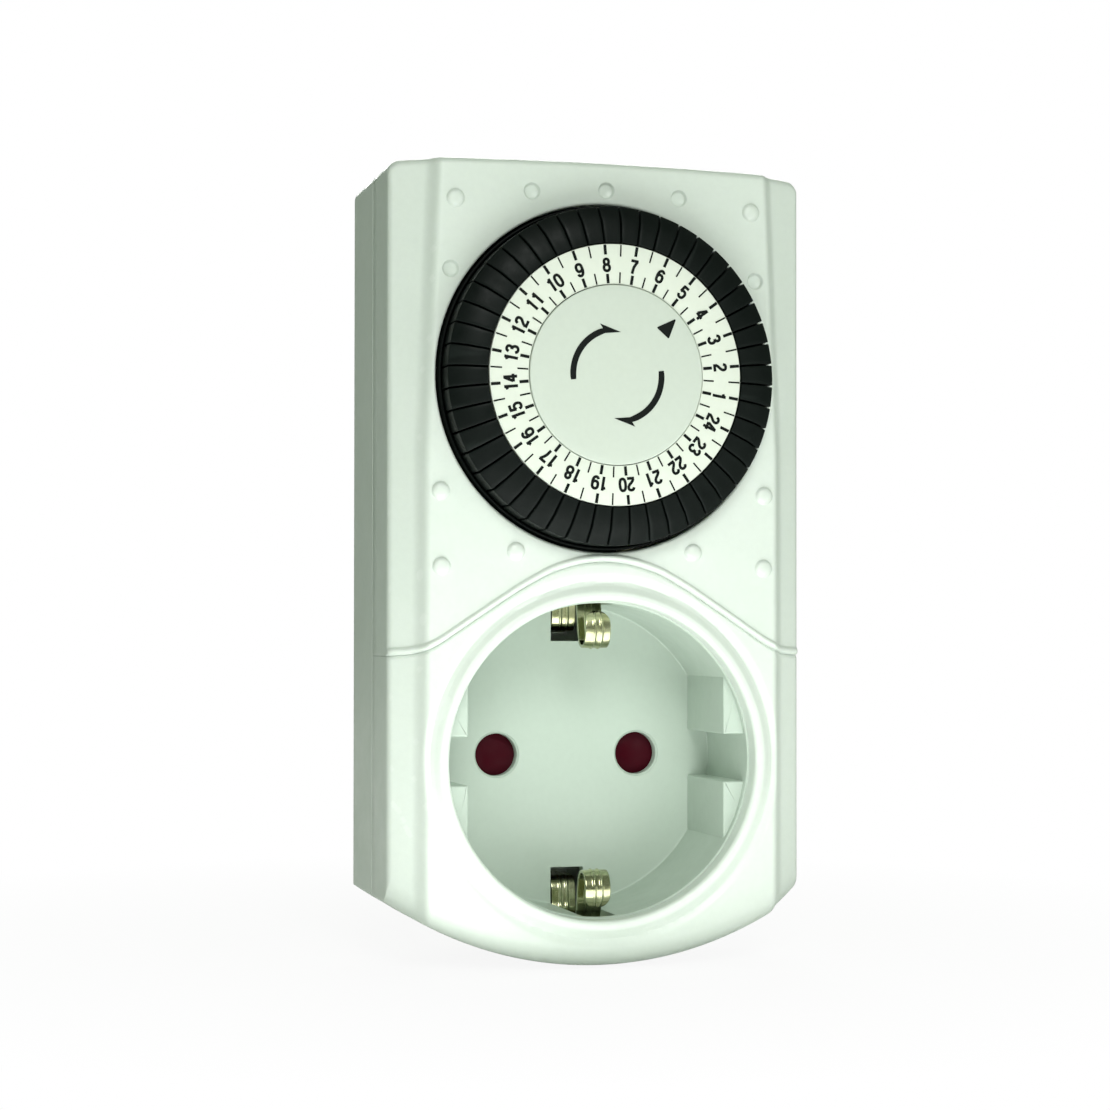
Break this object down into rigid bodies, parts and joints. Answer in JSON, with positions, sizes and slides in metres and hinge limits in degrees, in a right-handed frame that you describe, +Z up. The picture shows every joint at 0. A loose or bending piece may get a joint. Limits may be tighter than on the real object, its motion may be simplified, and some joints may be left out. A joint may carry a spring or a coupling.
{
  "type": "plug-in timer",
  "caption": "Mechanical 24-hour plug-in timer: a dial ringed by push-in switching segments above an earthed round socket outlet, with a round two-pin plug on the back.",
  "frame": {"origin": "the middle of the plug's flat end face, on the common axis of the socket and the plug; the housing's flat back, which lies against the wall, is 16 mm in front of it", "axes": "+Z up, +X to the right seen from the front, +Y out of the back into the wall; the dial and the socket face -Y"},
  "size_m": [0.0538, 0.0656, 0.1001],
  "materials": {
    "shell": "fine matt moulded off-white polycarbonate",
    "white": "matt ivory white, printed black",
    "black": "black moulded plastic, fine texture",
    "maroon": "dark red moulded plastic",
    "nickel": "bright nickel plate",
    "brass": "rolled brass",
    "steel": "zinc plated steel",
    "acetal": "natural acetal",
    "plate": "dark grey moulded plastic",
    "copper": "copper alloy",
    "magnet": "ferrite",
    "wire_blue": "insulated wire",
    "wire_brown": "insulated wire"
  },
  "bodies": {
    "housing": {"rear_housing": "shell", "upper_front_cover": "shell", "lower_front_cover": "shell", "socket_well": "shell", "earth_spring_upper": "nickel", "earth_spring_lower": "nickel", "plug_pin_live": "nickel", "plug_pin_neutral": "nickel", "socket_contact_live": "brass", "socket_contact_neutral": "brass", "fixed_contact": "brass", "live_bar": "brass", "lever_axle": "steel", "mechanism_plate": "plate", "centre_spindle": "steel", "centre_disc": "white", "idler_axle": "steel", "motor_case": "steel", "motor_coil": "copper", "motor_rear_plate": "steel", "shutter_spring": "steel", "motor_lead_live": "wire_brown", "motor_lead_neutral": "wire_blue", "screw_top_left": "steel", "screw_top_right": "steel", "screw_bottom_left": "steel", "screw_bottom_right": "steel"},
    "dial": {"dial_wheel": "black", "number_ring": "white"},
    "idler": {"idler_gear": "acetal"},
    "pinion": {"motor_pinion": "brass"},
    "rotor": {"motor_rotor": "magnet"},
    "lever": {"follower_lever": "acetal"},
    "leaf": {"moving_contact": "copper"},
    "shutter": {"shutter": "maroon"},
    "tappet_01_body": {"tappet_01": "black"},
    "tappet_02_body": {"tappet_02": "black"},
    "tappet_03_body": {"tappet_03": "black"},
    "tappet_04_body": {"tappet_04": "black"},
    "tappet_05_body": {"tappet_05": "black"},
    "tappet_06_body": {"tappet_06": "black"},
    "tappet_07_body": {"tappet_07": "black"},
    "tappet_08_body": {"tappet_08": "black"},
    "tappet_09_body": {"tappet_09": "black"},
    "tappet_10_body": {"tappet_10": "black"},
    "tappet_11_body": {"tappet_11": "black"},
    "tappet_12_body": {"tappet_12": "black"},
    "tappet_13_body": {"tappet_13": "black"},
    "tappet_14_body": {"tappet_14": "black"},
    "tappet_15_body": {"tappet_15": "black"},
    "tappet_16_body": {"tappet_16": "black"},
    "tappet_17_body": {"tappet_17": "black"},
    "tappet_18_body": {"tappet_18": "black"},
    "tappet_19_body": {"tappet_19": "black"},
    "tappet_20_body": {"tappet_20": "black"},
    "tappet_21_body": {"tappet_21": "black"},
    "tappet_22_body": {"tappet_22": "black"},
    "tappet_23_body": {"tappet_23": "black"},
    "tappet_24_body": {"tappet_24": "black"}
  },
  "joints": [
    {"name": "dial_turn", "type": "hinge", "parent": "housing", "child": "dial", "pos_m": [0, -0.016, 0.0475], "axis": [0, 1, 0], "continuous": true},
    {"name": "shutter_turn", "type": "hinge", "parent": "housing", "child": "shutter", "pos_m": [0, -0.016, 0], "axis": [0, 1, 0], "range_deg": [0, 42]},
    {"name": "follower_lever_tilt", "type": "hinge", "parent": "housing", "child": "lever", "pos_m": [0, -0.032, 0.0248], "axis": [-1, 0, 0], "range_deg": [0, 11]},
    {"name": "moving_contact_flex", "type": "hinge", "parent": "housing", "child": "leaf", "pos_m": [0, -0.0264, 0.042], "axis": [1, 0, 0], "range_deg": [0, 8]},
    {"name": "idler_turn", "type": "hinge", "parent": "housing", "child": "idler", "pos_m": [0.01058, -0.016, 0.03294], "axis": [0, 1, 0], "continuous": true},
    {"name": "motor_pinion_turn", "type": "hinge", "parent": "housing", "child": "pinion", "pos_m": [0.01468, -0.016, 0.04421], "axis": [0, 1, 0], "continuous": true},
    {"name": "rotor_spin", "type": "hinge", "parent": "housing", "child": "rotor", "pos_m": [0.0065, -0.016, 0.052], "axis": [0, 1, 0], "continuous": true},
    {"name": "tappet_01_press", "type": "slide", "parent": "dial", "child": "tappet_01_body", "axis": [0, 1, 0], "range_m": [0, 0.002]},
    {"name": "tappet_02_press", "type": "slide", "parent": "dial", "child": "tappet_02_body", "axis": [0, 1, 0], "range_m": [0, 0.002]},
    {"name": "tappet_03_press", "type": "slide", "parent": "dial", "child": "tappet_03_body", "axis": [0, 1, 0], "range_m": [0, 0.002]},
    {"name": "tappet_04_press", "type": "slide", "parent": "dial", "child": "tappet_04_body", "axis": [0, 1, 0], "range_m": [0, 0.002]},
    {"name": "tappet_05_press", "type": "slide", "parent": "dial", "child": "tappet_05_body", "axis": [0, 1, 0], "range_m": [0, 0.002]},
    {"name": "tappet_06_press", "type": "slide", "parent": "dial", "child": "tappet_06_body", "axis": [0, 1, 0], "range_m": [0, 0.002]},
    {"name": "tappet_07_press", "type": "slide", "parent": "dial", "child": "tappet_07_body", "axis": [0, 1, 0], "range_m": [0, 0.002]},
    {"name": "tappet_08_press", "type": "slide", "parent": "dial", "child": "tappet_08_body", "axis": [0, 1, 0], "range_m": [0, 0.002]},
    {"name": "tappet_09_press", "type": "slide", "parent": "dial", "child": "tappet_09_body", "axis": [0, 1, 0], "range_m": [0, 0.002]},
    {"name": "tappet_10_press", "type": "slide", "parent": "dial", "child": "tappet_10_body", "axis": [0, 1, 0], "range_m": [0, 0.002]},
    {"name": "tappet_11_press", "type": "slide", "parent": "dial", "child": "tappet_11_body", "axis": [0, 1, 0], "range_m": [0, 0.002]},
    {"name": "tappet_12_press", "type": "slide", "parent": "dial", "child": "tappet_12_body", "axis": [0, 1, 0], "range_m": [0, 0.002]},
    {"name": "tappet_13_press", "type": "slide", "parent": "dial", "child": "tappet_13_body", "axis": [0, 1, 0], "range_m": [0, 0.002]},
    {"name": "tappet_14_press", "type": "slide", "parent": "dial", "child": "tappet_14_body", "axis": [0, 1, 0], "range_m": [0, 0.002]},
    {"name": "tappet_15_press", "type": "slide", "parent": "dial", "child": "tappet_15_body", "axis": [0, 1, 0], "range_m": [0, 0.002]},
    {"name": "tappet_16_press", "type": "slide", "parent": "dial", "child": "tappet_16_body", "axis": [0, 1, 0], "range_m": [0, 0.002]},
    {"name": "tappet_17_press", "type": "slide", "parent": "dial", "child": "tappet_17_body", "axis": [0, 1, 0], "range_m": [0, 0.002]},
    {"name": "tappet_18_press", "type": "slide", "parent": "dial", "child": "tappet_18_body", "axis": [0, 1, 0], "range_m": [0, 0.002]},
    {"name": "tappet_19_press", "type": "slide", "parent": "dial", "child": "tappet_19_body", "axis": [0, 1, 0], "range_m": [0, 0.002]},
    {"name": "tappet_20_press", "type": "slide", "parent": "dial", "child": "tappet_20_body", "axis": [0, 1, 0], "range_m": [0, 0.002]},
    {"name": "tappet_21_press", "type": "slide", "parent": "dial", "child": "tappet_21_body", "axis": [0, 1, 0], "range_m": [0, 0.002]},
    {"name": "tappet_22_press", "type": "slide", "parent": "dial", "child": "tappet_22_body", "axis": [0, 1, 0], "range_m": [0, 0.002]},
    {"name": "tappet_23_press", "type": "slide", "parent": "dial", "child": "tappet_23_body", "axis": [0, 1, 0], "range_m": [0, 0.002]},
    {"name": "tappet_24_press", "type": "slide", "parent": "dial", "child": "tappet_24_body", "axis": [0, 1, 0], "range_m": [0, 0.002]}
  ],
  "couplings": [
    {"joint": "idler_turn", "follows": "dial_turn", "ratio": -4},
    {"joint": "motor_pinion_turn", "follows": "dial_turn", "ratio": 12},
    {"joint": "moving_contact_flex", "follows": "follower_lever_tilt", "ratio": 0.6}
  ]
}
